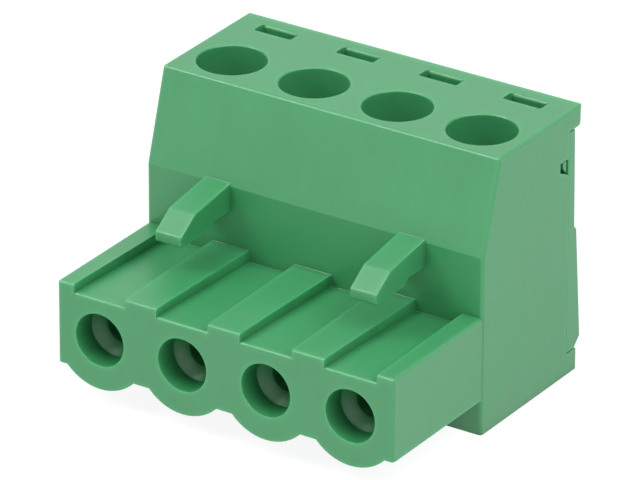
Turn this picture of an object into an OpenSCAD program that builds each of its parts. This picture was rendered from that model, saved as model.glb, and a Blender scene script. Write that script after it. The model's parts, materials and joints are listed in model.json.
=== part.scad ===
// Pluggable screw terminal block: a straight plug for a row of header pins.
// Millimetres. X runs along the row, the plug nose faces -Y, the wires leave at +Y, +Z is up.
// The origin is the middle of the base, below the centre of the whole body.

/* [Row] */
// Number of poles
poles = 4; // [2:1:8]
// Distance between the centres of two poles
pitch = 5.08; // [5:0.02:6]
// How far each end of the body reaches past the half pitch
end_over = 0.1; // [0:0.02:0.2]

/* [Body] */
// Height of the body
body_h = 15; // [14.6:0.1:18]
// Thickness of the front wall between the nose and the clamp pockets
front_wall = 1.9; // [1.7:0.1:2.5]
// Height at which the front wall starts to slope back
bend_z = 10; // [9.6:0.1:11]
// How far the front wall slopes back on its way to the roof
slope_back = 1.5; // [0.5:0.1:1.8]
// Height of the ledge that the rear cover stands on
ledge_z = 1.2; // [0.8:0.1:1.4]
// How far the ledge reaches behind the cover seat
ledge_d = 0.95; // [0.6:0.05:1.4]
// Height of the roof lip over the rear cover
lip_h = 1.1; // [0.9:0.1:1.5]
// How far the roof lip reaches behind the cover seat
lip_d = 1; // [0.7:0.05:1.3]
// Width and height of the sharp ridge along the top rear edge of the lip
lip_ridge = 0.18; // [0.05:0.01:0.3]
// Radius of the upright front corners and of the outer rib edges
corner = 0.2; // [0.1:0.02:0.4]
// Radius on the front and side edges of the roof
roof_edge = 0.18; // [0.05:0.01:0.3]
// Radius under the rear edge of the roof lip
lip_round = 0.2; // [0.05:0.05:0.4]

/* [Nose] */
// Depth of the plug nose
nose_d = 8.2; // [7.6:0.1:10]
// Height of the nose underside above the base
nose_z = 2; // [1.6:0.1:2.2]
// Height of the nose, from its underside to the ribs
nose_h = 4.65; // [4.5:0.05:5.5]
// Step between the body sides and the nose sides
nose_inset = 0.05; // [0:0.01:0.2]
// Height of the pin and wire axes above the base
axis_z = 3.9; // [3.8:0.05:4.1]
// Radius of the rounded lobes under the nose
lobe_r = 2.8; // [2.5:0.01:2.85]
// Width of the channels between the ribs, at the nose face
channel_w = 3.15; // [2.8:0.05:3.8]
// How much narrower the channels are at the body wall
channel_taper = 0.3; // [0:0.05:0.5]
// Depth of the channels at the nose face
channel_front = 0.45; // [0.2:0.05:0.5]
// Depth of the channels at the body wall
channel_back = 0.64; // [0.3:0.02:0.7]
// Radius on the front edges of the ribs and channels
rib_edge = 0.16; // [0.05:0.01:0.25]

/* [Pin sockets] */
// Diameter of the round socket mouth
socket_d = 2.94; // [2.6:0.02:3.2]
// Depth of the round socket mouth
socket_depth = 1.4; // [1:0.1:2]
// Diameter of the guide bore for the pin
guide_d = 1.76; // [1.5:0.02:2]
// Length of the guide bore for the pin
guide_l = 0.8; // [0.6:0.1:1.2]
// Height of the spring chamber
chamber_h = 3.3; // [3.2:0.1:3.4]

/* [Latch hooks] */
// Width of a hook
hook_w = 1.6; // [1.2:0.05:2]
// Distance of a hook from the rib nearest the end of the row, measured outwards
hook_out = 0.84; // [0.4:0.02:1]
// Reach of a hook in front of the body wall
hook_reach = 4.45; // [3.5:0.05:5]
// Height of a hook at its root
hook_root_h = 1.45; // [1.2:0.05:1.8]
// Height of the hook tops above the bend of the front wall
hook_up = 0.15; // [0:0.05:0.3]
// Drop of a hook's brow below the bend of the front wall
hook_drop = 0.32; // [0.2:0.02:0.6]
// Length of the steep ramp at the front of a hook
hook_ramp = 1.3; // [0.8:0.05:1.5]
// Height of the blunt hook tip
hook_tip_h = 0.6; // [0.4:0.05:0.7]
// Radius on the corners of the hook tip
hook_soft = 0.18; // [0.05:0.01:0.25]
// Radius on the brow between the top of a hook and its ramp
hook_brow = 0.5; // [0.2:0.1:1]
// Depth of the barb under the hook
hook_barb = 0.32; // [0.1:0.02:0.4]
// Distance from the body wall to the catching face of the barb
hook_catch = 1.48; // [1:0.02:2]

/* [Roof openings] */
// Diameter of the screwdriver holes
access_d = 3.7; // [3.4:0.05:3.75]
// Chamfer around the screwdriver holes
access_edge = 0.06; // [0.04:0.01:0.15]
// Length of the latch slots, along the row
slot_l = 2.3; // [2:0.1:2.8]
// Width of the latch slots
slot_w = 0.82; // [0.7:0.02:0.9]
// Radius in the corners of the latch slots
slot_corner = 0.12; // [0.05:0.01:0.13]
// Radius on the rear edge of the latch slots
slot_round = 0.2; // [0.1:0.02:0.3]

/* [Clamps] */
// Room behind each clamp, up to the rear cover
pocket_back = 2.4; // [2.2:0.1:2.8]
// Clearance between metal parts and the pockets
gap = 0.05; // [0.03:0.01:0.08]
// Length of a clamp cage, along the wire
cage_l = 3.7; // [3.5:0.1:4]
// Thickness of the cage sides
cage_wall = 0.45; // [0.4:0.05:0.5]
// Thickness of the cage floor
cage_floor = 0.7; // [0.5:0.05:0.8]
// Thickness of the threaded cage top
cage_top = 1.6; // [1.4:0.1:1.8]
// Height of the wire opening when the clamp is open
wire_h = 2.8; // [2.6:0.1:2.9]
// Travel of the cage between open and closed
travel = 2.5; // [2.2:0.1:2.6]
// Diameter of the clamp screw
screw_d = 3; // [2.9:0.05:3.1]
// Chamfer on the tip and the head of the screw
screw_edge = 0.25; // [0.1:0.05:0.4]
// Height of the screw head
head_h = 1.5; // [1.2:0.1:1.7]
// Width of the screwdriver slot in the head
drive_w = 0.7; // [0.5:0.05:0.9]
// Depth of the screwdriver slot in the head
drive_depth = 0.8; // [0.5:0.1:1]
// Angle between the standing slots of two neighbouring screws
drive_turn = 40; // [0:5:90]

/* [Contacts] */
// Thickness of the contact strip
strip = 0.4; // [0.35:0.05:0.45]
// Gap between the two contact springs where they grip the pin
grip = 0.6; // [0.4:0.05:0.8]
// Distance from the guide bore to the place where the springs grip
grip_in = 1.3; // [1:0.1:1.8]
// Straight run of the springs in front of their heel
spring_run = 2; // [1:0.1:2.4]

/* [Rear cover] */
// Thickness of the cover at its top edge
cover_top_t = 0.5; // [0.35:0.01:0.6]
// Thickness of the cover halfway, above its step
cover_mid_t = 0.6; // [0.5:0.01:0.7]
// Thickness of the cover at the foot of the wire entries
cover_foot_t = 1.3; // [1:0.05:1.6]
// Height of the step across the cover
step_z = 8.1; // [7.5:0.1:9]
// Depth of the step across the cover
step_d = 0.2; // [0.05:0.05:0.25]
// Bevel under the foot of the cover
foot_bevel = 0.55; // [0.3:0.05:0.7]
// Diameter of the wire entries
wire_d = 2.9; // [2.6:0.1:3]
// Length of the guide sleeves inside the cover
sleeve_l = 1.9; // [1.5:0.1:2]
// Length of the funnels in front of the wire entries
funnel_l = 0.6; // [0.4:0.1:0.8]
// Widening of the funnels, on the radius
funnel_out = 0.5; // [0.3:0.05:0.5]
// Seam between the cover and the housing
seam = 0.05; // [0.02:0.01:0.08]
// Clearance around the tongues and the side latches
latch_room = 0.08; // [0.04:0.01:0.12]
// How far down the cover the tongues are rooted
tongue_root = 1; // [0.6:0.1:1.4]
// Rise of the tongues into the roof slots
tongue_rise = 0.28; // [0.1:0.02:0.6]
// Depth of the windows for the side latches
window_d = 0.77; // [0.6:0.01:1]
// Height of the windows at the front
window_h = 0.52; // [0.4:0.02:0.7]
// How far the windows open downwards to the rear
window_flare = 0.38; // [0:0.02:0.5]
// How far the windows reach above the clamp pockets
window_up = 0.4; // [0.2:0.05:0.6]
// Width of the arms that carry the side latches
arm_w = 0.75; // [0.6:0.05:1]
// Thickness of the arms that carry the side latches
arm_t = 0.5; // [0.3:0.05:0.7]

/* [Hidden] */

$fn = 64;
over = 0.01;

// Row
row_w = poles * pitch + 2 * end_over;
half_w = row_w / 2;
nose_half_w = half_w - nose_inset;
function pole_x(i) = (i - (poles + 1) / 2) * pitch;

// Depths, measured from the nose face
pocket_y = nose_d + front_wall;
cage_y = pocket_y + 4 * gap;
screw_y = cage_y + cage_l / 2;
seat_y = cage_y + cage_l + pocket_back;
lip_y = seat_y + lip_d;
ledge_y = seat_y + ledge_d;
body_d = seat_y + cover_foot_t;
slot_y = seat_y - slot_w / 8;
slot_rear = slot_y + slot_w / 2;

// Heights of the clamp stack, from the cage floor up to the screw head
bar_t = 2 * strip;
bar_z = axis_z + wire_h / 2;
bar_top = bar_z + bar_t;
cage_z = axis_z - wire_h / 2 - cage_floor;
pocket_z = cage_z - 2 * gap;
cage_top_z = bar_top + 2 * gap;
tip_z = bar_top + gap;
head_z = cage_top_z + cage_top + travel + 2 * gap;
pocket_top = head_z + head_h + 2 * gap;
lip_z = body_h - lip_h;
nose_top = nose_z + nose_h;

bar_w = screw_d;
spring_w = bar_w - 2 * gap;
cage_in_w = screw_d + 2 * gap;
cage_w = cage_in_w + 2 * cage_wall;
head_d = cage_w;
pocket_w = cage_w + 2 * gap;
chamber_w = bar_w + 4 * gap;
guide_y = socket_depth + (socket_d - guide_d) / 2;
chamber_y = guide_y + guide_l;
heel_y = pocket_y - 3 * strip;
sleeve_y = seat_y - sleeve_l;
sleeve_d = pocket_w - 4 * gap;
arm_x = pole_x(poles) + pocket_w / 2 - seam - arm_w;

green = "#5fae7d";
tinned = "#cfd2cf";
plated = "#b9bec2";

// Moves a part from depths behind the nose face to the middle of the base
module in_frame() translate([0, -body_d / 2, 0]) children();

// Extrudes an outline of [depth, height] points along the row, centred on x
module along_row(x, w, points)
    translate([x - w / 2, 0, 0]) rotate([90, 0, 90]) linear_extrude(w) polygon(points);

// Cutter for a groove: a square rod on its corner, along the z axis, c from its middle to its edges
module edge_rod(l, c)
    translate([0, 0, l / 2]) rotate([0, 0, 45]) cube([c * sqrt(2), c * sqrt(2), l], center = true);

// Cutter for a round of radius r on an edge along the z axis, with the material towards -x and +y
module edge_round(l, r)
    difference() {
        translate([-r, -1, 0]) cube([r + 1, r + 1, l]);
        translate([-r, r, -1]) cylinder(r = r, h = l + 2);
    }

// Cutter for the round on the front edge of a face at height z, all along the row
module row_round(z)
    translate([half_w + 1, 0, z]) rotate([0, -90, 0]) edge_round(row_w + 2, rib_edge);

function unit(v) = v / norm(v);

// Points of a round of radius r on the corner b of an outline, between its neighbours a and c
function rounded(a, b, c, r, n = 5) = let (
    u = unit(a - b), v = unit(c - b), half = acos(u * v) / 2,
    centre = b + unit(u + v) * r / sin(half), from = b + u * r / tan(half), to = b + v * r / tan(half))
    [for (k = [0:n]) centre + unit(from + (to - from) * k / n - centre) * r];

// ---------- housing ----------

module body_block() {
    rise = body_h - bend_z;
    slant = atan(slope_back / rise);
    difference() {
        along_row(0, row_w, concat(
            [[nose_d, 0], [nose_d, bend_z]],
            rounded([nose_d, bend_z], [nose_d + slope_back, body_h], [lip_y, body_h], roof_edge),
            [[lip_y + lip_ridge, body_h], [lip_y, body_h - lip_ridge]],
            rounded([lip_y, body_h], [lip_y, lip_z], [seat_y, lip_z], lip_round),
            [[seat_y, lip_z], [seat_y, ledge_z], [ledge_y, ledge_z], [ledge_y, 0]]));
        for (side = [0, 1]) mirror([side, 0, 0]) translate([half_w, nose_d, 0]) {
            translate([0, 0, -1]) edge_round(bend_z + 2, corner);
            translate([0, 0, bend_z]) rotate([-slant, 0, 0])
                translate([0, 0, -1]) edge_round(rise / cos(slant) + 2, corner);
            translate([0, 0, body_h]) rotate([-90, 0, 0]) edge_round(lip_y - nose_d + 1, roof_edge);
        }
    }
}

module nose_block() {
    back = nose_d + front_wall / 2;
    slope = (channel_back - channel_front) / nose_d;
    floor_front = nose_top - channel_front;
    difference() {
        union() {
            difference() {
                along_row(0, 2 * nose_half_w, [
                    [0, nose_z], [0, floor_front], [back, floor_front - slope * back], [back, nose_z]]);
                row_round(floor_front);
            }
            for (i = [0:poles]) rib(i, back);
            for (i = [1:poles]) lobe(i, back);
        }
        row_round(nose_top);
        for (side = [0, 1]) mirror([side, 0, 0]) translate([nose_half_w, 0, 0]) {
            edge_round(body_h, corner);
            translate([0, -1, nose_top]) rotate([-90, 0, 0]) edge_round(back + 2, corner);
        }
    }
}

// Rib number i stands between poles i and i + 1; the first and last are half ribs at the ends
module rib(i, back) {
    front_w = channel_w / 2;
    back_w = front_w - channel_taper / 2 * back / nose_d;
    left = i == 0 ? [-nose_half_w, -nose_half_w] : pole_x(i) * [1, 1] + [front_w, back_w];
    right = i == poles ? [nose_half_w, nose_half_w] : pole_x(i + 1) * [1, 1] - [front_w, back_w];
    translate([0, 0, nose_z + nose_h / 2]) linear_extrude(nose_h / 2)
        polygon([[left[0], 0], [left[1], back], [right[1], back], [right[0], 0]]);
}

module lobe(i, back)
    intersection() {
        translate([pole_x(i), 0, axis_z]) rotate([-90, 0, 0]) cylinder(r = lobe_r, h = back);
        translate([-nose_half_w, -1, 0]) cube([2 * nose_half_w, back + 2, nose_z + nose_h / 4]);
    }

module hook(x) {
    root_y = nose_d + front_wall / 2;
    under = bend_z - hook_root_h;
    low = under - hook_barb;
    nib_y = nose_d - hook_reach;
    catch_y = nose_d - hook_catch;
    brow = [nib_y + hook_ramp, bend_z - hook_drop];
    tip = [nib_y, low + hook_tip_h];
    back = [nose_d, bend_z + hook_up];
    along_row(x, hook_w, concat(
        [back + (back - brow) * (root_y - nose_d) / (nose_d - brow.x)],
        rounded(back, brow, tip, hook_brow),
        rounded(brow, tip, [nib_y, low], hook_soft),
        rounded(tip, [nib_y, low], [catch_y, low], hook_soft),
        [[catch_y - hook_barb, low], [catch_y, under], [root_y, under]]));
}

// Round mouth, cone and guide bore of one pin socket, on the y axis
module socket()
    rotate([-90, 0, 0]) rotate_extrude() polygon([
        [0, -1], [socket_d / 2, -1], [socket_d / 2, socket_depth], [guide_d / 2, guide_y],
        [guide_d / 2, chamber_y + over], [0, chamber_y + over]]);

// Screwdriver hole of one pole, with a chamfer at the roof
module access()
    rotate_extrude() polygon([
        [0, pocket_top - over], [access_d / 2, pocket_top - over], [access_d / 2, body_h - access_edge],
        [access_d / 2 + 2 * access_edge, body_h + access_edge], [0, body_h + access_edge]]);

// Spring chamber, heel room for the contact, clamp pocket and screwdriver hole of one pole
module pole_cuts() {
    translate([0, 0, axis_z]) socket();
    translate([-chamber_w / 2, chamber_y, axis_z - chamber_h / 2])
        cube([chamber_w, pocket_y - chamber_y + over, chamber_h]);
    translate([-chamber_w / 2, heel_y - 2 * gap, axis_z - chamber_h / 2])
        cube([chamber_w, pocket_y - heel_y + 2 * gap + over, bar_top + 2 * gap - axis_z + chamber_h / 2]);
    translate([-pocket_w / 2, pocket_y, pocket_z])
        cube([pocket_w, seat_y - pocket_y + over, pocket_top - pocket_z]);
    translate([0, screw_y, 0]) access();
    translate([0, slot_y, pocket_top - over]) linear_extrude(body_h - pocket_top + 1) latch_slot();
    along_row(0, slot_l - 2 * slot_corner, concat(
        [[slot_rear - over, body_h - slot_round]],
        rounded([slot_rear, lip_z], [slot_rear, body_h], [lip_y, body_h], slot_round),
        [[slot_rear + slot_round, body_h + 1], [slot_rear - over, body_h + 1]]));
}

// Outline of one latch slot, seen from above
module latch_slot() {
    corners = [for (p = [[-1, -1], [-1, 1], [1, 1], [1, -1]]) [p.x * slot_l / 2, p.y * slot_w / 2]];
    polygon([for (k = [0:3])
        each rounded(corners[(k + 3) % 4], corners[k], corners[(k + 1) % 4], slot_corner)]);
}

// Outline of the side latch windows, in depth and height, grown or shrunk by e
function window(e) = let (
    y0 = seat_y - 2 * seam - window_d - e, y1 = seat_y - 2 * seam + e,
    z1 = pocket_top + window_up + e, z0 = z1 - window_h - 2 * e)
    [[y0, z0], [y0, z1], [y1, z1], [y1, z0 - window_flare]];

module housing()
    color(green) in_frame() difference() {
        union() {
            body_block();
            nose_block();
            for (side = [-1, 1]) hook(side * (pole_x(poles) - pitch / 2 + hook_out));
        }
        for (i = [1:poles]) translate([pole_x(i), 0, 0]) pole_cuts();
        for (side = [-1, 1]) along_row(side * half_w, 2 * (half_w - arm_x + latch_room), window(0));
    }

// ---------- rear cover ----------

// Latch tongue that springs up into one slot of the roof
module tongue() {
    y0 = slot_y - slot_w / 2 + latch_room;
    y1 = slot_y + slot_w / 2 - latch_room;
    along_row(0, slot_l - 2 * latch_room, [
        [y0, lip_z - tongue_root], [y0, lip_z], [(y0 + y1) / 2, lip_z + tongue_rise],
        [y1, lip_z + tongue_rise], [y1, lip_z - tongue_root]]);
}

// Side latch: a nub in the window of the end wall, on an arm from the cover
module side_latch() {
    reach = half_w - latch_room - arm_x;
    nub = window(-latch_room);
    along_row(arm_x + reach / 2, reach, [for (p = nub) [max(p.x, seat_y - arm_t), p.y]]);
    translate([arm_x, seat_y - arm_t, nub[3].y]) cube([arm_w, arm_t + seam, pocket_top - seam - nub[3].y]);
}

// Funnel and bore of one wire entry, on the y axis
module wire_entry()
    rotate([-90, 0, 0]) rotate_extrude() polygon([
        [0, sleeve_y - 1], [wire_d / 2, sleeve_y - 1], [wire_d / 2, body_d - funnel_l],
        [wire_d / 2 + 2 * funnel_out, body_d + funnel_l], [0, body_d + funnel_l]]);

module rear_cover()
    color(green) in_frame() difference() {
        union() {
            along_row(0, row_w, [
                [seat_y, ledge_z + seam], [body_d - foot_bevel, ledge_z + seam],
                [body_d, ledge_z + seam + foot_bevel], [seat_y + cover_mid_t + step_d, step_z],
                [seat_y + cover_mid_t, step_z + step_d], [seat_y + cover_top_t, lip_z - seam],
                [seat_y, lip_z - seam]]);
            for (i = [1:poles]) translate([pole_x(i), 0, 0]) {
                tongue();
                translate([0, sleeve_y, axis_z]) rotate([-90, 0, 0])
                    cylinder(d = sleeve_d, h = sleeve_l + seam);
            }
            side_latch();
            mirror([1, 0, 0]) side_latch();
        }
        for (i = [1:poles]) translate([pole_x(i), 0, axis_z]) wire_entry();
    }

// ---------- contacts ----------

// Half of the spring pair: a bent strip, side 1 above the pin axis and side -1 below it
module spring(side) {
    root = wire_h / 2 - strip / 2;
    line = [
        [heel_y + strip / 2, root], [heel_y - spring_run, root - gap],
        [chamber_y + grip_in, (grip + strip) / 2], [chamber_y + 3 * gap, root]];
    along_row(0, spring_w, [
        for (p = line) [p.x, axis_z + side * (p.y + strip / 2)],
        for (k = [len(line) - 1:-1:0]) [line[k].x, axis_z + side * (line[k].y - strip / 2)]]);
}

// One contact: a doubled bar through the clamp, a heel and two springs around the pin
module contact(i)
    color(tinned) in_frame() translate([pole_x(i), 0, 0]) {
        bar_end = sleeve_y - 2 * gap;
        translate([-bar_w / 2, heel_y, bar_z]) cube([bar_w, bar_end - heel_y, bar_t]);
        translate([-bar_w / 2, heel_y, axis_z - wire_h / 2]) cube([bar_w, strip, wire_h + bar_t]);
        for (side = [-1, 1]) spring(side);
    }

// ---------- clamps ----------

// One clamp cage, shown open: a bent ring that the screw pulls up towards the bar
module clamp_cage(i)
    color(plated) in_frame() translate([pole_x(i), cage_y, 0]) difference() {
        top = cage_top_z + cage_top;
        bend = cage_wall / 2;
        grooves = 3;
        rotate([90, 0, 0]) mirror([0, 0, 1]) linear_extrude(cage_l) difference() {
            polygon([
                [-cage_w / 2 + bend, cage_z], [cage_w / 2 - bend, cage_z], [cage_w / 2, cage_z + bend],
                [cage_w / 2, top - bend], [cage_w / 2 - bend, top], [-cage_w / 2 + bend, top],
                [-cage_w / 2, top - bend], [-cage_w / 2, cage_z + bend]]);
            translate([-cage_in_w / 2, cage_z + cage_floor])
                square([cage_in_w, cage_top_z - cage_z - cage_floor]);
        }
        translate([0, cage_l / 2, cage_top_z - 1]) cylinder(d = screw_d + 2 * gap, h = cage_top + 2);
        for (k = [1:grooves])
            translate([-cage_in_w / 2, k * cage_l / (grooves + 1), cage_z + cage_floor])
                rotate([0, 90, 0]) edge_rod(cage_in_w, cage_floor / 5);
    }

// One clamp screw: it turns in place under the roof, with its tip against the bar
module clamp_screw(i)
    color(plated) in_frame() translate([pole_x(i), screw_y, 0]) rotate(drive_turn * i) difference() {
        head_top = head_z + head_h;
        rotate_extrude() polygon([
            [0, tip_z], [screw_d / 2 - screw_edge, tip_z], [screw_d / 2, tip_z + screw_edge],
            [screw_d / 2, head_z], [head_d / 2, head_z], [head_d / 2, head_top - screw_edge],
            [head_d / 2 - screw_edge, head_top], [0, head_top]]);
        translate([-head_d, -drive_w / 2, head_top - drive_depth])
            cube([2 * head_d, drive_w, drive_depth + 1]);
    }

housing();
rear_cover();
for (i = [1:poles]) {
    contact(i);
    clamp_cage(i);
    clamp_screw(i);
}
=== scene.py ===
import json
import math
from types import SimpleNamespace

import bmesh
import bpy
import numpy as np
from mathutils import Matrix, Vector


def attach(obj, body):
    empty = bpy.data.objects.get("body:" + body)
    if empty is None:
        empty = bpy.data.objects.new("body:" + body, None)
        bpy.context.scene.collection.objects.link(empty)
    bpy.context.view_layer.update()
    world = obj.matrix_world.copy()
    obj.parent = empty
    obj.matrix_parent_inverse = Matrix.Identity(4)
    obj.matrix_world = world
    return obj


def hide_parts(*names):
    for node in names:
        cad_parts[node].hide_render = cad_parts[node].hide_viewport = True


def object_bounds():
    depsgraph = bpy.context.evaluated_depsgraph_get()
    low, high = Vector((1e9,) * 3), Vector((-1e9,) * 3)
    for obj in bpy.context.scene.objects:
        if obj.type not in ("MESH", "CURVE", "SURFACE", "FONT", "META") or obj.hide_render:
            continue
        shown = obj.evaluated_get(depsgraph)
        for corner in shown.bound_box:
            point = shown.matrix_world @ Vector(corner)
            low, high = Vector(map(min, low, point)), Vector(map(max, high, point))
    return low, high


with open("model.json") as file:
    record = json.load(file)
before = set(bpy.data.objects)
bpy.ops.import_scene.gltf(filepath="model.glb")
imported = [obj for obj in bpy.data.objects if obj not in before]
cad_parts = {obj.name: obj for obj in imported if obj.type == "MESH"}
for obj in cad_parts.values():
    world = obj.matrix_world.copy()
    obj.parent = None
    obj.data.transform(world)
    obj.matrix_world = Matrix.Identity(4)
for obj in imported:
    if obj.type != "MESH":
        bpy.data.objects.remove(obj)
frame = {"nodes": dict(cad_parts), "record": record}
cadBox = [list(corner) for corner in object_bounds()]
low, high = (np.array(corner) for corner in cadBox)
poles = sum(name.startswith("contact_") for name in frame["nodes"])
print("frame:", len(frame["nodes"]), "nodes,", poles, "poles")


# A new shader node. The values name its own settings, or its input sockets where it has no such setting
def addNode(tree, kind, **values):
    node = tree.nodes.new(kind)
    for name, value in values.items():
        if hasattr(node, name):
            setattr(node, name, value)
        else:
            node.inputs[name.replace("_", " ")].default_value = value
    return node


def wire(tree, *pairs):
    for source, target in pairs:
        tree.links.new(source, target)


# Noise whose patches are about size metres across, pulled out along each axis by stretch
def scaledNoise(tree, coords, size, stretch=(1, 1, 1), detail=3.0):
    mapping = addNode(tree, "ShaderNodeMapping", vector_type="POINT")
    mapping.inputs["Scale"].default_value = [1 / (size * pull) for pull in stretch]
    noise = addNode(tree, "ShaderNodeTexNoise", Scale=1.0, Detail=detail, Roughness=0.5)
    wire(tree, (coords, mapping.inputs["Vector"]), (mapping.outputs["Vector"], noise.inputs["Vector"]))
    return noise.outputs["Fac"]


# The value carried over from one range to another, and held at the ends
def remap(tree, value, source, target):
    node = addNode(tree, "ShaderNodeMapRange", From_Min=source[0], From_Max=source[1],
                   To_Min=target[0], To_Max=target[1])
    wire(tree, (value, node.inputs["Value"]))
    return node.outputs["Result"]


def arith(tree, operation, a, b):
    node = addNode(tree, "ShaderNodeMath", operation=operation)
    for socket, value in zip(node.inputs, (a, b)):
        if isinstance(value, (int, float)):
            socket.default_value = value
        else:
            wire(tree, (value, socket))
    return node.outputs[0]


# For colours, the mix node takes its factor at socket 0 and the two colours at 6 and 7, and answers at 2
def mixColour(tree, factor, a, b):
    node = addNode(tree, "ShaderNodeMix", data_type="RGBA")
    wire(tree, (factor, node.inputs[0]), (a, node.inputs[6]), (b, node.inputs[7]))
    return node.outputs[2]


def newGroup(name, inputs, outputs):
    tree = bpy.data.node_groups.new(name, "ShaderNodeTree")
    for label, kind, value in inputs:
        tree.interface.new_socket(name=label, in_out="INPUT", socket_type=kind).default_value = value
    for label, kind in outputs:
        tree.interface.new_socket(name=label, in_out="OUTPUT", socket_type=kind)
    return tree, addNode(tree, "NodeGroupInput").outputs, addNode(tree, "NodeGroupOutput").inputs


# Sizes and reaches in metres. A reach is how far round a point the plastic looks for other surfaces, and a
# pull is how many times longer than wide a streak is
plastic = {"cloudSize": 0.0045, "streakSize": 0.0009, "streakPull": 9, "grainSize": 0.00011,
           "cornerReach": 0.0007, "skyReach": 0.004, "looks": 8}
# Two of these greens are painted light: a painted glow at narrow edges, and painted shade in corners and
# sockets
greens = ["Colour", "Cloud Colour", "Painted Edge Glow", "Painted Shade Colour"]


# From 0 where a point is closed in to 1 where nothing stands within reach of it
def openness(tree, reach):
    node = addNode(tree, "ShaderNodeAmbientOcclusion", samples=plastic["looks"], Distance=reach)
    return node.outputs["AO"]


# Moulded plastic: broad soft clouding, faint flow streaks up the walls, a fine spark-eroded grain, and a
# painted glow, a lighter tone painted where little solid lies behind the surface, standing in for light
# shining through the plastic at narrow edges. Painted shade darkens it in tight corners and down the sockets
# of the nose, where little of the sky is in sight
def makeMouldedSkin():
    tree, given, out = newGroup(
        "mouldedSkin",
        [(label, "NodeSocketColor", (0.1, 0.4, 0.2, 1)) for label in greens]
        + [("Glow Reach", "NodeSocketFloat", 0.0003), ("Nose From", "NodeSocketFloat", 0),
           ("Roughness", "NodeSocketFloat", 0.4)],
        [("Colour", "NodeSocketColor"), ("Roughness", "NodeSocketFloat"), ("Height", "NodeSocketFloat")])
    coords = addNode(tree, "ShaderNodeTexCoord").outputs["Object"]
    clouds = scaledNoise(tree, coords, plastic["cloudSize"])
    upright = (1, 1, plastic["streakPull"])
    streaks = scaledNoise(tree, coords, plastic["streakSize"], stretch=upright, detail=2.0)
    grain = scaledNoise(tree, coords, plastic["grainSize"], detail=2.0)
    cover = arith(tree, "ADD", remap(tree, clouds, (0.35, 0.65), (0, 0.8)),
                  remap(tree, streaks, (0.45, 0.7), (0, 0.3)))
    colour = mixColour(tree, arith(tree, "MINIMUM", cover, 1.0), given["Colour"], given["Cloud Colour"])
    # Painted glow: a lighter tone where little solid lies behind the surface, for light shining through
    # narrow edges
    behind = addNode(tree, "ShaderNodeAmbientOcclusion", samples=plastic["looks"], inside=True,
                     only_local=True)
    wire(tree, (given["Glow Reach"], behind.inputs["Distance"]))
    glowMask = remap(tree, behind.outputs["AO"], (0.95, 0.55), (0, 1))
    colour = mixColour(tree, glowMask, colour, given["Painted Edge Glow"])
    # Painted shade: darker in tight corners, and down the nose's sockets where little of the sky is in sight
    corner = remap(tree, openness(tree, plastic["cornerReach"]), (0.85, 0.4), (0, 0.55))
    sky = openness(tree, plastic["skyReach"])
    place = addNode(tree, "ShaderNodeSeparateXYZ")
    wire(tree, (coords, place.inputs[0]))
    nose = arith(tree, "LESS_THAN", place.outputs["Y"], given["Nose From"])
    socket = arith(tree, "MULTIPLY", remap(tree, sky, (0.6, 0.2), (0, 0.85)), nose)
    colour = mixColour(tree, arith(tree, "MAXIMUM", corner, socket), colour, given["Painted Shade Colour"])
    rough = arith(tree, "ADD", given["Roughness"], remap(tree, clouds, (0.3, 0.7), (-0.05, 0.05)))
    rough = arith(tree, "ADD", rough, remap(tree, grain, (0.3, 0.7), (-0.03, 0.03)))
    height = arith(tree, "ADD", arith(tree, "MULTIPLY", grain, 0.5), arith(tree, "MULTIPLY", streaks, 0.8))
    wire(tree, (colour, out["Colour"]), (rough, out["Roughness"]), (height, out["Height"]))
    return tree


# Sizes in metres
plating = {"lineSize": 0.00007, "linePull": 25, "cloudSize": 0.0011, "spotSize": 0.00035}
greys = ["Colour", "Dull Colour"]


# Plated metal: fine drawn lines along Y, cloudy plating and small dull spots
def makeMetalSkin():
    tree, given, out = newGroup(
        "metalSkin",
        [(label, "NodeSocketColor", (0.6, 0.6, 0.6, 1)) for label in greys]
        + [("Roughness", "NodeSocketFloat", 0.3)],
        [("Colour", "NodeSocketColor"), ("Roughness", "NodeSocketFloat"), ("Height", "NodeSocketFloat")])
    coords = addNode(tree, "ShaderNodeTexCoord").outputs["Object"]
    lines = scaledNoise(tree, coords, plating["lineSize"], stretch=(1, plating["linePull"], 1), detail=2.0)
    clouds = scaledNoise(tree, coords, plating["cloudSize"], detail=4.0)
    spots = remap(tree, scaledNoise(tree, coords, plating["spotSize"], detail=1.0), (0.62, 0.72), (0, 1))
    dull = arith(tree, "MAXIMUM", remap(tree, clouds, (0.45, 0.75), (0, 0.7)),
                 arith(tree, "MULTIPLY", spots, 0.6))
    rough = arith(tree, "ADD", given["Roughness"], arith(tree, "MULTIPLY", dull, 0.18))
    rough = arith(tree, "ADD", rough, remap(tree, lines, (0.3, 0.7), (-0.05, 0.05)))
    wire(tree, (mixColour(tree, dull, given["Colour"], given["Dull Colour"]), out["Colour"]),
         (rough, out["Roughness"]), (lines, out["Height"]))
    return tree


def makeMaterial(name, skin, finish):
    material = bpy.data.materials.new(name)
    material.use_nodes = True
    tree = material.node_tree
    shader = tree.nodes["Principled BSDF"]
    effect = addNode(tree, "ShaderNodeGroup", node_tree=skin)
    for label, value in finish["skin"].items():
        effect.inputs[label].default_value = value
    for label, value in finish["shader"].items():
        shader.inputs[label].default_value = value
    bump = addNode(tree, "ShaderNodeBump", Distance=finish["bump"], Strength=1.0)
    wire(tree, (effect.outputs["Colour"], shader.inputs["Base Color"]),
         (effect.outputs["Roughness"], shader.inputs["Roughness"]),
         (effect.outputs["Height"], bump.inputs["Height"]),
         (bump.outputs["Normal"], shader.inputs["Normal"]))
    return material
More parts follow.
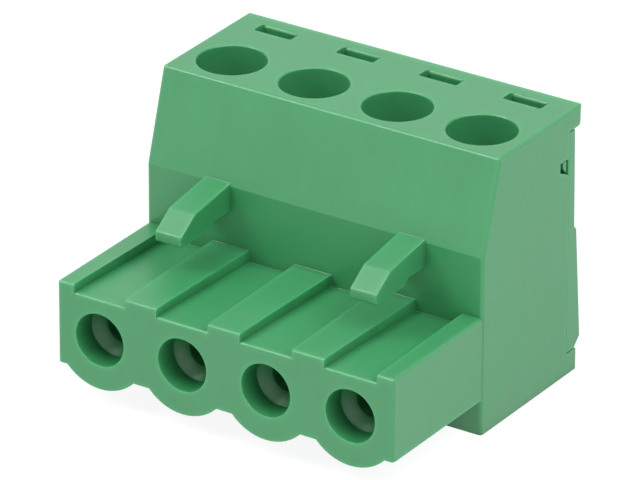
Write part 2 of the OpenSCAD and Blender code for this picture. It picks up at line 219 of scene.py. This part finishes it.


# What the two green mouldings share. The nose is what lies in front of Nose From, a Y in metres
# Painted Shade Colour is the darker green of the painted shade in corners and down the sockets
greenSkin = {"Painted Shade Colour": (0.014, 0.15, 0.05, 1), "Nose From": -0.004, "Roughness": 0.38}
greenShader = {"IOR": 1.53, "Specular IOR Level": 0.72}
# Painted Edge Glow is a lighter green painted at narrow edges, standing in for light shining through
finishes = {
    "housingGreen": {
        "skin": {**greenSkin, "Colour": (0.044, 0.294, 0.11, 1), "Cloud Colour": (0.05, 0.314, 0.122, 1),
                 "Painted Edge Glow": (0.054, 0.35, 0.134, 1), "Glow Reach": 0.00035},
        "shader": {**greenShader, "Subsurface Weight": 0.6, "Subsurface Radius": (0.35, 1.0, 0.55),
                   "Subsurface Scale": 0.0003},
        "bump": 0.000004},
    "coverGreen": {
        "skin": {**greenSkin, "Colour": (0.043, 0.284, 0.108, 1), "Cloud Colour": (0.049, 0.3, 0.12, 1),
                 "Painted Edge Glow": (0.05, 0.31, 0.122, 1), "Glow Reach": 0.0003},
        "shader": greenShader,
        "bump": 0.000004},
    "brightTin": {
        "skin": {"Colour": (0.78, 0.77, 0.73, 1), "Dull Colour": (0.52, 0.5, 0.45, 1), "Roughness": 0.24},
        "shader": {"Metallic": 1.0},
        "bump": 0.000002},
    "zincPlate": {
        "skin": {"Colour": (0.68, 0.69, 0.7, 1), "Dull Colour": (0.42, 0.43, 0.43, 1), "Roughness": 0.3},
        "shader": {"Metallic": 1.0},
        "bump": 0.000003},
}
mouldedSkin = makeMouldedSkin()
metalSkin = makeMetalSkin()
materials = {name: makeMaterial(name, mouldedSkin if "Green" in name else metalSkin, finish)
             for name, finish in finishes.items()}
print("materials:", ", ".join(materials))


# One value, or one row of values, for each vertex, edge, loop or face
def meshValues(items, name, columns=1, kind=np.float64):
    values = np.empty(len(items) * columns, kind)
    items.foreach_get(name, values)
    return values.reshape(-1, columns) if columns > 1 else values


# A mesh as arrays: its points, the ends of each edge, the edge and point of each loop, the first loop, loop
# count and normal of each face, and the pair of faces beside each edge
def meshNet(mesh):
    net = SimpleNamespace(
        points=meshValues(mesh.vertices, "co", 3), ends=meshValues(mesh.edges, "vertices", 2, np.int32),
        loopEdge=meshValues(mesh.loops, "edge_index", kind=np.int32),
        loopPoint=meshValues(mesh.loops, "vertex_index", kind=np.int32),
        starts=meshValues(mesh.polygons, "loop_start", kind=np.int32),
        counts=meshValues(mesh.polygons, "loop_total", kind=np.int32),
        normals=meshValues(mesh.polygons, "normal", 3))
    loopFace = np.repeat(np.arange(len(net.counts)), net.counts)
    net.pairs = loopFace[np.argsort(net.loopEdge, kind="stable")].reshape(-1, 2)
    return net


def rowDot(a, b):
    return np.einsum("ij,ij->i", a, b)


# Each edge's width is how far the narrower of its two faces reaches away from it, square to the edge, whose
# direction is along. The edge is convex where each face falls away behind the plane of the other
def widthAndConvex(net, along):
    width = np.full(len(along), np.inf)
    for column in range(2):
        face = net.pairs[:, column]
        inward = np.cross(net.normals[face], along)
        reach = np.zeros(len(along))
        side = np.zeros(len(along))
        for step in range(net.counts.max()):
            corner = net.loopPoint[net.starts[face] + np.minimum(step, net.counts[face] - 1)]
            apart = rowDot(net.points[corner] - net.points[net.ends[:, 0]], inward)
            side += (step < net.counts[face]) * apart
            reach = np.maximum(reach, np.abs(apart))
        width = np.minimum(width, reach)
        opening = np.sign(side) * rowDot(inward, net.normals[net.pairs[:, 1 - column]])
    return width, opening < 0


# How wide each edge may be rounded because of acute corners, where two rounded edges of a face run into each
# other: the width is the shorter edge times the tangent of half the corner's angle, which the clip keeps
# finite where the edges run straight on
def acuteRoom(net, leastCosine):
    lasts = net.starts + net.counts - 1
    before = np.arange(len(net.loopEdge)) - 1
    before[net.starts] = lasts
    after = np.arange(len(net.loopEdge)) + 1
    after[lasts] = net.starts
    back, forth = (net.points[net.loopPoint[way]] - net.points[net.loopPoint] for way in (before, after))
    backLength, forthLength = (np.linalg.norm(side, axis=1) for side in (back, forth))
    cosine = rowDot(back, forth) / backLength / forthLength
    halfTangent = np.sqrt((1 - cosine) / (1 + cosine).clip(1e-6))
    wedge = np.where(cosine > leastCosine, np.minimum(backLength, forthLength) * halfTangent, np.inf)
    room = np.full(len(net.ends), np.inf)
    for edgeOfCorner in (net.loopEdge[before], net.loopEdge):
        np.minimum.at(room, edgeOfCorner, wedge)
    return room


# The share of the full radius that each edge takes, and which edges are sharp. The share shrinks where a
# face beside the edge is narrow, where an edge that shares one of its ends is short, and at acute corners. A
# short edge of a crowded face, one with many corners, isn't rounded. In the soft zone, only the width of the
# faces limits a convex edge
def edgeShares(mesh, edge):
    net = meshNet(mesh)
    faceNormals = net.normals[net.pairs]
    turn = np.degrees(np.arccos(rowDot(faceNormals[:, 0], faceNormals[:, 1]).clip(-1, 1)))
    span = net.points[net.ends[:, 1]] - net.points[net.ends[:, 0]]
    length = np.linalg.norm(span, axis=1)
    width, convex = widthAndConvex(net, span / length[:, None])
    sharp = (turn > edge["sharp"]) | (turn > edge["crease"]) & (width > edge["broad"])
    shortest = np.full(len(net.points), np.inf)
    np.minimum.at(shortest, net.ends.ravel(), np.repeat(length, 2))
    room = np.minimum(width, shortest[net.ends].min(axis=1))
    room = np.minimum(room, acuteRoom(net, edge["acuteCosine"]))
    middle = net.points[net.ends].mean(axis=1)
    soft = (middle[:, 1] < edge["softFront"]) & (middle[:, 2] > edge["softAbove"]) & convex
    share = edge["fill"] * np.where(soft, width, room) / edge["radius"]
    share[(net.counts[net.pairs].max(axis=1) > edge["crowd"]) & (length < edge["short"])] = 0
    share = np.clip(share, 0, np.where(soft, 1, edge["plain"]))
    return np.where(sharp & (share >= edge["least"]), share, 0), sharp


# A CAD node's triangles merged into flat faces, with no normals of their own
def flatFaces(node, name, material, edge):
    work = bmesh.new()
    work.from_mesh(frame["nodes"][node].data)
    bmesh.ops.remove_doubles(work, verts=work.verts, dist=edge["merge"])
    limit = math.radians(edge["flat"])
    bmesh.ops.dissolve_limit(work, angle_limit=limit, verts=work.verts, edges=work.edges)
    bmesh.ops.recalc_face_normals(work, faces=work.faces)
    mesh = bpy.data.meshes.new(name)
    work.to_mesh(mesh)
    work.free()
    if "custom_normal" in mesh.attributes:
        mesh.attributes.remove(mesh.attributes["custom_normal"])
    mesh.materials.clear()
    mesh.materials.append(material)
    mesh.polygons.foreach_set("use_smooth", np.ones(len(mesh.polygons), bool))
    mesh.polygons.foreach_set("material_index", np.zeros(len(mesh.polygons), np.int32))
    return mesh


# The bevel becomes part of the mesh, so that each edge that is still steep can be marked sharp, such as
# where a rounded strip ends at a wall. Large flat faces then shade as flat
def roundEdges(piece, edge):
    flat = piece.data
    bevel = piece.modifiers.new("roundedEdges", "BEVEL")
    bevel.width = edge["radius"]
    bevel.segments = edge["segments"]
    bevel.limit_method = "WEIGHT"
    bevel.use_clamp_overlap = False
    evaluated = piece.evaluated_get(bpy.context.evaluated_depsgraph_get())
    rounded = bpy.data.meshes.new_from_object(evaluated)
    piece.modifiers.remove(bevel)
    piece.data = rounded
    bpy.data.meshes.remove(flat)
    rounded.name = piece.name
    marked = meshValues(rounded.edges, "use_edge_sharp", kind=bool)
    rounded.set_sharp_from_angle(angle=math.radians(edge["sharp"]))
    steep = meshValues(rounded.edges, "use_edge_sharp", kind=bool)
    rounded.edges.foreach_set("use_edge_sharp", marked | steep)
    even = piece.modifiers.new("evenShading", "WEIGHTED_NORMAL")
    even.mode = "FACE_AREA"
    even.keep_sharp = True


# A piece that stands for one CAD solid, with its sharp edges rounded
def roundedPiece(node, name, material, edge):
    mesh = flatFaces(node, name, material, edge)
    shares, sharp = edgeShares(mesh, edge)
    mesh.edges.foreach_set("use_edge_sharp", sharp & (shares == 0))
    weights = mesh.attributes.new("bevel_weight_edge", "FLOAT", "EDGE")
    weights.data.foreach_set("value", shares.astype(np.float32))
    piece = bpy.data.objects.new(name, mesh)
    bpy.context.scene.collection.objects.link(piece)
    roundEdges(piece, edge)
    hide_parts(node)
    bodies = frame["record"]["behaviour"]["bodies"]
    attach(piece, next(body for body, nodes in bodies.items() if node in nodes))


# Metres and degrees. An edge is sharp from the angle sharp, or from crease where both faces are wider than
# broad. Its radius is fill times the room it has, up to the full radius in the soft zone and to plain times
# the radius elsewhere. Less than least times the radius isn't made. A face with more corners than crowd is
# crowded
everyEdge = {"merge": 0.000002, "flat": 0.5, "sharp": 38, "crease": 14, "broad": 0.00035, "fill": 0.42,
             "acuteCosine": 0.5, "short": 0.0005, "crowd": math.inf, "plain": 1, "least": 0.2,
             "softFront": -math.inf, "softAbove": math.inf}
# The soft zone holds the latch hooks, in front of the wall and above the nose
housingEdge = {**everyEdge, "radius": 0.00008, "segments": 3, "plain": 0.5, "least": 0.1,
               "softFront": -0.0012, "softAbove": 0.008}
coverEdge = {**everyEdge, "radius": 0.00004, "segments": 3, "crowd": 40}
metalEdge = {**everyEdge, "radius": 0.00003, "segments": 2}
# The contact strips keep their stamped edges
stripEdge = {**metalEdge, "plain": 0}
roundedPiece("housing", "mouldedHousing", materials["housingGreen"], housingEdge)
roundedPiece("rear_cover", "mouldedCover", materials["coverGreen"], coverEdge)
for i in range(1, poles + 1):
    roundedPiece(f"contact_{i}", f"contactStrip{i}", materials["brightTin"], stripEdge)
    roundedPiece(f"clamp_cage_{i}", f"clampCage{i}", materials["zincPlate"], metalEdge)
    roundedPiece(f"clamp_screw_{i}", f"clampScrew{i}", materials["zincPlate"], metalEdge)


# Metres, watts and degrees, with azimuths counted from -Y towards +X
studio = {"floorSize": 1.2, "skyLight": 0.5, "floorGlow": 0.9, "floorTone": 0.2, "paperTone": 0.88}
lamps = {
    "topLamp": {"azimuth": -20, "elevation": 78, "distance": 0.5, "size": 0.3, "power": 0.5},
    "keyLamp": {"azimuth": -45, "elevation": 45, "distance": 0.5, "size": 0.2, "power": 0.98},
    "sideLamp": {"azimuth": 75, "elevation": 45, "distance": 0.5, "size": 0.3, "power": 1.12},
}
view = {"azimuth": 33.193, "elevation": 25.964, "roll": 0.186, "distance": 0.39343, "lens": 431.83,
        "sensor": 36, "clipFrom": 0.01, "clipTo": 10, "aimDepth": 0.009, "aimHeight": 0.006,
        "slideRight": -0.000073, "slideUp": 0.001802}


# 1 for camera, glossy and transmission rays, 0 for the rays that light the object
def whiteForEye(tree):
    path = addNode(tree, "ShaderNodeLightPath").outputs
    seen = arith(tree, "MAXIMUM", path["Is Camera Ray"], path["Is Glossy Ray"])
    return arith(tree, "MAXIMUM", seen, path["Is Transmission Ray"])


# The sky is pure white where it is seen, and dimmer as a light
def makeWorld():
    world = bpy.data.worlds.new("whiteTent")
    bpy.context.scene.world = world
    world.use_nodes = True
    tree = world.node_tree
    light = tree.nodes["Background"]
    light.inputs["Color"].default_value = (1, 1, 1, 1)
    light.inputs["Strength"].default_value = studio["skyLight"]
    seen = addNode(tree, "ShaderNodeBackground", Color=(1, 1, 1, 1), Strength=1.0)
    mix = addNode(tree, "ShaderNodeMixShader")
    wire(tree, (whiteForEye(tree), mix.inputs[0]), (light.outputs[0], mix.inputs[1]),
         (seen.outputs[0], mix.inputs[2]), (mix.outputs[0], tree.nodes["World Output"].inputs["Surface"]))


# The floor is pale paper to the rays that light the object. Where it is seen it glows, and a faint shade on
# it grounds the part
def makeFloor():
    half = studio["floorSize"] / 2
    corners = [(-half, -half, 0), (half, -half, 0), (half, half, 0), (-half, half, 0)]
    mesh = bpy.data.meshes.new("studioFloor")
    mesh.from_pydata(corners, [], [range(len(corners))])
    floor = bpy.data.objects.new("studioFloor", mesh)
    bpy.context.scene.collection.objects.link(floor)
    material = bpy.data.materials.new("paleFloor")
    material.use_nodes = True
    tree = material.node_tree
    tree.nodes.remove(tree.nodes["Principled BSDF"])
    paper, shade = (addNode(tree, "ShaderNodeBsdfDiffuse", Color=(studio[tone],) * 3 + (1,))
                    for tone in ("paperTone", "floorTone"))
    glow = addNode(tree, "ShaderNodeEmission", Color=(1, 1, 1, 1), Strength=studio["floorGlow"])
    both = addNode(tree, "ShaderNodeAddShader")
    mix = addNode(tree, "ShaderNodeMixShader")
    wire(tree, (shade.outputs[0], both.inputs[0]), (glow.outputs[0], both.inputs[1]),
         (whiteForEye(tree), mix.inputs[0]), (paper.outputs[0], mix.inputs[1]),
         (both.outputs[0], mix.inputs[2]), (mix.outputs[0], tree.nodes["Material Output"].inputs["Surface"]))
    mesh.materials.append(material)


# The unit vector from the part towards a lamp or the camera
def awayFromPart(place):
    azimuth, elevation = math.radians(place["azimuth"]), math.radians(place["elevation"])
    return Vector((math.sin(azimuth) * math.cos(elevation), -math.cos(azimuth) * math.cos(elevation),
                   math.sin(elevation)))


# A square soft light that looks at the middle of the part
def makeLamp(name, settings):
    away = awayFromPart(settings)
    data = bpy.data.lights.new(name, "AREA")
    data.shape = "SQUARE"
    data.size = settings["size"]
    data.energy = settings["power"]
    lamp = bpy.data.objects.new(name, data)
    lamp.location = Vector((low + high) / 2) + away * settings["distance"]
    lamp.rotation_euler = away.to_track_quat("Z", "Y").to_euler()
    bpy.context.scene.collection.objects.link(lamp)


# The camera looks along its own -Z at a point on the part's middle plane, is rolled about that line, and is
# slid sideways and up in its own plane
def makeCamera():
    away = awayFromPart(view)
    roll = math.radians(view["roll"])
    right = Vector((0, 0, 1)).cross(away).normalized()
    up = away.cross(right)
    side = math.cos(roll) * right + math.sin(roll) * up
    top = math.cos(roll) * up - math.sin(roll) * right
    aim = Vector((0, low[1] + view["aimDepth"], low[2] + view["aimHeight"]))
    place = Matrix((side, top, away)).transposed().to_4x4()
    place.translation = aim + away * view["distance"] + side * view["slideRight"] + top * view["slideUp"]
    data = bpy.data.cameras.new("camera")
    data.sensor_width = view["sensor"]
    data.lens = view["lens"]
    data.clip_start = view["clipFrom"]
    data.clip_end = view["clipTo"]
    camera = bpy.data.objects.new("camera", data)
    camera.matrix_world = place
    bpy.context.scene.collection.objects.link(camera)
    bpy.context.scene.camera = camera


makeWorld()
makeFloor()
for name, settings in lamps.items():
    makeLamp(name, settings)
makeCamera()
bpy.context.scene.view_settings.view_transform = "Standard"
print("studio: floor, sky, three lamps and the camera")
